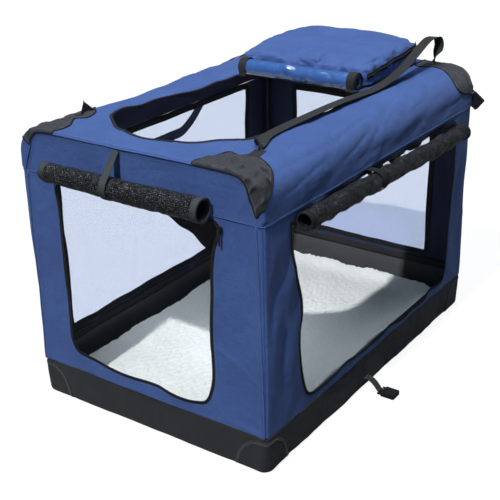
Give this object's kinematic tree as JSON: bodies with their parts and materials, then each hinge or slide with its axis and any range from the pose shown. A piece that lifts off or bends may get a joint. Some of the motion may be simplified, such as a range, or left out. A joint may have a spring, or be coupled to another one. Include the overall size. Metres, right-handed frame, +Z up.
{
  "type": "soft folding dog crate",
  "caption": "Soft folding dog crate: a zipped fabric cover on a collapsing round-tube frame, with rolled-up doors, mesh windows, a top pocket and a fleece mat.",
  "frame": {"origin": "middle of the underside of the base tray", "axes": "+Z up, the length along Y with the end door facing -Y, the side door facing +X"},
  "size_m": [0.695, 0.9705, 0.7053],
  "materials": {
    "steel_tube": "satin grey tube",
    "black_zinc": "black enamelled metal",
    "black_nylon": "moulded, satin",
    "blue_fabric": "coated plain weave",
    "black_fabric": "coated weave and webbing",
    "black_mesh": "open knitted mesh",
    "blue_film": "glossy coated cloth",
    "white_fleece": "deep pile",
    "grey_board": "dull fibreboard"
  },
  "bodies": {
    "base": {"base_tube_left": "steel_tube", "base_tube_right": "steel_tube", "base_tube_front": "steel_tube", "base_tube_back": "steel_tube", "base_corner_front_left": "black_nylon", "base_corner_front_right": "black_nylon", "base_corner_back_left": "black_nylon", "base_corner_back_right": "black_nylon", "base_tray": "black_fabric", "base_board": "grey_board", "fleece_mat": "white_fleece", "front_wall": "blue_fabric", "back_wall": "blue_fabric", "left_wall": "blue_fabric", "right_wall": "blue_fabric", "left_window_net": "black_mesh", "back_window_net": "black_mesh"},
    "top": {"front_hoop": "steel_tube", "back_hoop": "steel_tube", "top_bar_left": "steel_tube", "top_bar_right": "steel_tube", "top_connector_front_left": "black_nylon", "top_connector_front_right": "black_nylon", "top_connector_back_left": "black_nylon", "top_connector_back_right": "black_nylon", "top_cover": "blue_fabric", "corner_patch_front_left": "black_fabric", "corner_patch_front_right": "black_fabric", "corner_patch_back_left": "black_fabric", "corner_patch_back_right": "black_fabric", "top_pocket": "blue_fabric", "front_door_roll": "black_mesh", "front_tie": "black_fabric"},
    "lower_post_front_left": {"lower_post_front_left": "steel_tube"},
    "upper_post_front_left": {"upper_post_front_left": "steel_tube"},
    "lower_post_front_right": {"lower_post_front_right": "steel_tube"},
    "upper_post_front_right": {"upper_post_front_right": "steel_tube"},
    "lower_post_back_left": {"lower_post_back_left": "steel_tube"},
    "upper_post_back_left": {"upper_post_back_left": "steel_tube"},
    "lower_post_back_right": {"lower_post_back_right": "steel_tube"},
    "upper_post_back_right": {"upper_post_back_right": "steel_tube"},
    "side_roll": {"side_door_roll": "black_mesh", "side_tie": "black_fabric"},
    "top_roll": {"top_door_roll": "blue_film", "top_tie_left": "black_fabric", "top_tie_right": "black_fabric"},
    "carry_strap_left": {"carry_strap_left": "black_fabric"},
    "carry_strap_right": {"carry_strap_right": "black_fabric"},
    "base_strap": {"base_strap": "black_fabric"},
    "base_buckle": {"base_buckle": "black_nylon"},
    "rear_strap": {"rear_strap": "black_fabric"},
    "rear_buckle": {"rear_buckle": "black_nylon"},
    "front_zip_slider": {"front_zip_slider": "black_zinc"},
    "front_zip_pull": {"front_zip_pull": "black_zinc"},
    "side_zip_front_slider": {"side_zip_front_slider": "black_zinc"},
    "side_zip_front_pull": {"side_zip_front_pull": "black_zinc"},
    "side_zip_back_slider": {"side_zip_back_slider": "black_zinc"},
    "side_zip_back_pull": {"side_zip_back_pull": "black_zinc"},
    "pocket_zip_slider": {"pocket_zip_slider": "black_zinc"},
    "pocket_zip_pull": {"pocket_zip_pull": "black_zinc"}
  },
  "joints": [
    {"name": "fold_front_right", "type": "hinge", "parent": "base", "child": "lower_post_front_right", "pos_m": [0.286, -0.4385, 0.02861], "axis": [-1, 0, 0], "range_deg": [0, 84.33], "deforming": ["front_wall", "back_wall", "left_wall", "right_wall", "left_window_net", "back_window_net"]},
    {"name": "elbow_front_right", "type": "hinge", "parent": "lower_post_front_right", "child": "upper_post_front_right", "pos_m": [0.286, -0.4485, 0.28875], "axis": [1, 0, 0], "range_deg": [0, 168.66]},
    {"name": "fold_front_left", "type": "hinge", "parent": "base", "child": "lower_post_front_left", "pos_m": [-0.286, -0.4385, 0.02861], "axis": [-1, 0, 0], "range_deg": [0, 84.33]},
    {"name": "elbow_front_left", "type": "hinge", "parent": "lower_post_front_left", "child": "upper_post_front_left", "pos_m": [-0.286, -0.4485, 0.28875], "axis": [1, 0, 0], "range_deg": [0, 168.66]},
    {"name": "fold_back_left", "type": "hinge", "parent": "base", "child": "lower_post_back_left", "pos_m": [-0.286, 0.4385, 0.02861], "axis": [1, 0, 0], "range_deg": [0, 84.33]},
    {"name": "elbow_back_left", "type": "hinge", "parent": "lower_post_back_left", "child": "upper_post_back_left", "pos_m": [-0.286, 0.4485, 0.28875], "axis": [-1, 0, 0], "range_deg": [0, 168.66]},
    {"name": "fold_back_right", "type": "hinge", "parent": "base", "child": "lower_post_back_right", "pos_m": [0.286, 0.4385, 0.02861], "axis": [1, 0, 0], "range_deg": [0, 84.33]},
    {"name": "elbow_back_right", "type": "hinge", "parent": "lower_post_back_right", "child": "upper_post_back_right", "pos_m": [0.286, 0.4485, 0.28875], "axis": [-1, 0, 0], "range_deg": [0, 168.66]},
    {"name": "top_front_right", "type": "hinge", "parent": "upper_post_front_right", "child": "top", "pos_m": [0.286, -0.4385, 0.54889], "axis": [-1, 0, 0], "range_deg": [0, 84.33]},
    {"name": "side_roll_lift", "type": "hinge", "parent": "top", "child": "side_roll", "pos_m": [0.305, 0, 0.537], "axis": [0, -1, 0], "range_deg": [0, 55]},
    {"name": "top_roll_tip", "type": "hinge", "parent": "top", "child": "top_roll", "pos_m": [0, 0.135, 0.6353], "axis": [-1, 0, 0], "range_deg": [0, 35]},
    {"name": "carry_strap_left_lift", "type": "hinge", "parent": "top", "child": "carry_strap_left", "pos_m": [-0.2315, 0, 0.6353], "axis": [0, 1, 0], "range_deg": [0, 95]},
    {"name": "carry_strap_right_tip", "type": "hinge", "parent": "top", "child": "carry_strap_right", "pos_m": [0.2208, 0, 0.6371], "axis": [0, 1, 0], "range_deg": [0, 85]},
    {"name": "base_strap_lift", "type": "hinge", "parent": "base", "child": "base_strap", "pos_m": [0.3063, -0.056, 0.028], "axis": [0, 1, 0], "range_deg": [-80, 0]},
    {"name": "base_buckle_tip", "type": "hinge", "parent": "base_strap", "child": "base_buckle", "pos_m": [0.347, -0.056, 0.0048], "axis": [0, 1, 0], "range_deg": [-42, 0]},
    {"name": "rear_strap_lift", "type": "hinge", "parent": "top", "child": "rear_strap", "pos_m": [0.271, 0.4578, 0.583], "axis": [0.6157, 0, 0.788], "range_deg": [0, 90]},
    {"name": "rear_buckle_tip", "type": "hinge", "parent": "rear_strap", "child": "rear_buckle", "pos_m": [0.29464, 0.4623, 0.56453], "axis": [0.6157, 0, 0.788], "range_deg": [0, 60]},
    {"name": "front_zip_run", "type": "slide", "parent": "top", "child": "front_zip_slider", "axis": [0, 0, 1], "range_m": [-0.345, 0]},
    {"name": "front_pull_lift", "type": "hinge", "parent": "front_zip_slider", "child": "front_zip_pull", "pos_m": [0.208, -0.4625, 0.512], "axis": [-1, 0, 0], "range_deg": [0, 90]},
    {"name": "side_zip_front_run", "type": "slide", "parent": "top", "child": "side_zip_front_slider", "axis": [0, 0, 1], "range_m": [-0.345, 0]},
    {"name": "side_pull_front_lift", "type": "hinge", "parent": "side_zip_front_slider", "child": "side_zip_front_pull", "pos_m": [0.31, -0.368, 0.512], "axis": [0, -1, 0], "range_deg": [0, 90]},
    {"name": "side_zip_back_run", "type": "slide", "parent": "top", "child": "side_zip_back_slider", "axis": [0, 0, 1], "range_m": [-0.345, 0]},
    {"name": "side_pull_back_lift", "type": "hinge", "parent": "side_zip_back_slider", "child": "side_zip_back_pull", "pos_m": [0.31, 0.368, 0.512], "axis": [0, -1, 0], "range_deg": [0, 90]},
    {"name": "pocket_zip_run", "type": "slide", "parent": "top", "child": "pocket_zip_slider", "axis": [0, 1, 0], "range_m": [0, 0.2]},
    {"name": "pocket_pull_lift", "type": "hinge", "parent": "pocket_zip_slider", "child": "pocket_zip_pull", "pos_m": [0.178, 0.187, 0.6573], "axis": [0, 0, -1], "range_deg": [0, 90]}
  ],
  "couplings": [
    {"joint": "elbow_front_right", "follows": "fold_front_right", "ratio": 2},
    {"joint": "fold_front_left", "follows": "fold_front_right", "ratio": 1},
    {"joint": "elbow_front_left", "follows": "fold_front_right", "ratio": 2},
    {"joint": "fold_back_left", "follows": "fold_front_right", "ratio": 1},
    {"joint": "elbow_back_left", "follows": "fold_front_right", "ratio": 2},
    {"joint": "fold_back_right", "follows": "fold_front_right", "ratio": 1},
    {"joint": "elbow_back_right", "follows": "fold_front_right", "ratio": 2},
    {"joint": "top_front_right", "follows": "fold_front_right", "ratio": 1}
  ]
}
